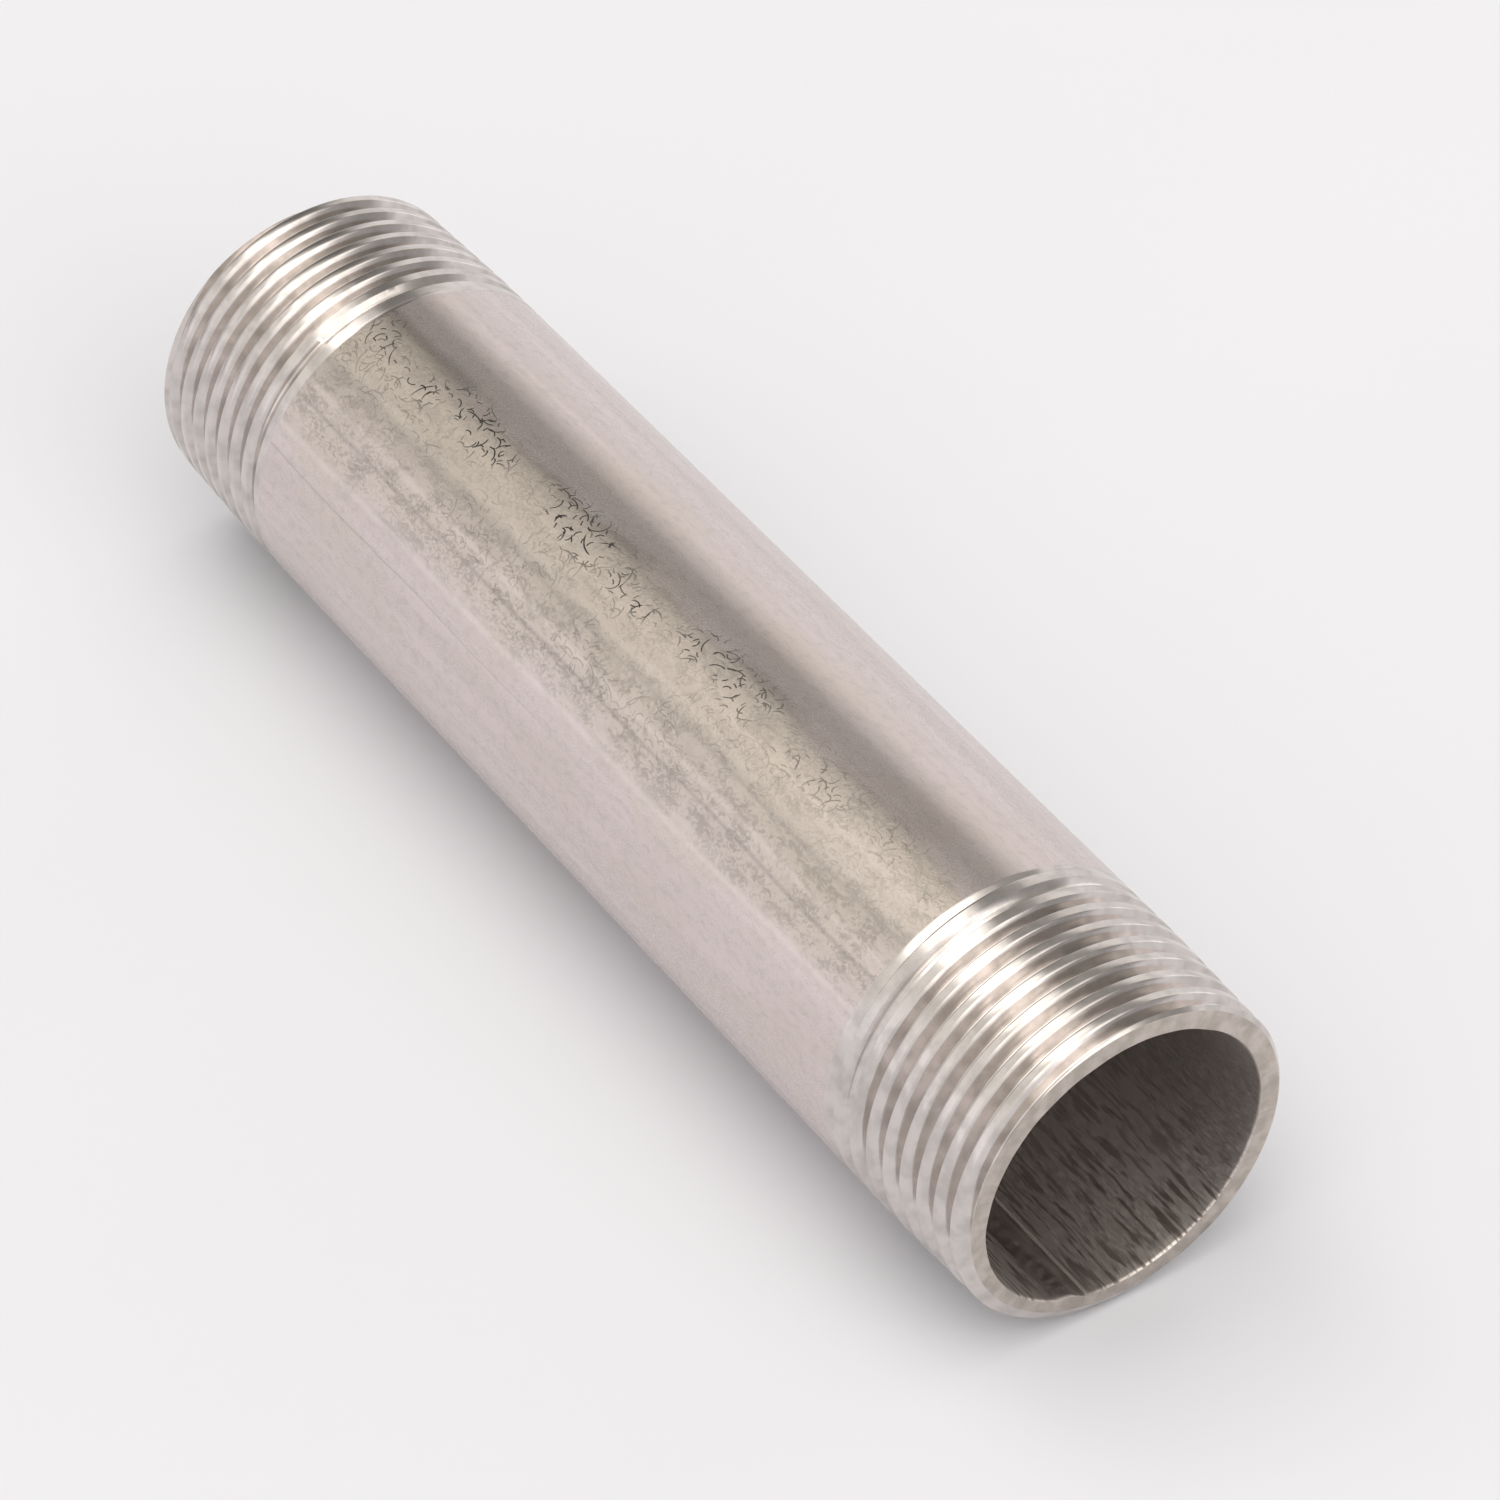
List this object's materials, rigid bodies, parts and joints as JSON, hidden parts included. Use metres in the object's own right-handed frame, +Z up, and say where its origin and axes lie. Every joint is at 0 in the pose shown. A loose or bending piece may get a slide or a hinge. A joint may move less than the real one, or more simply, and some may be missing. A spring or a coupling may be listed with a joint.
{
  "type": "threaded pipe nipple",
  "caption": "Straight stainless steel pipe nipple, open right through, with a right-hand male taper thread cut on each end and a longitudinal weld seam.",
  "frame": {"origin": "middle of the pipe, on its axis: the centre of the bounding box", "axes": "+X along the pipe's axis, from the middle to the end that faces the viewer; +Z up as the pipe lies on its side on a bench"},
  "size_m": [0.13, 0.0334, 0.0334],
  "materials": {
    "pickled_stainless": "satin pickled barrel, bright machined threads, dull dark bore",
    "dressed_weld": "dressed flush outside, rippled as-welded bead in the bore"
  },
  "bodies": {
    "root": {"pipe_wall": "pickled_stainless", "weld_seam": "dressed_weld"}
  },
  "joints": []
}
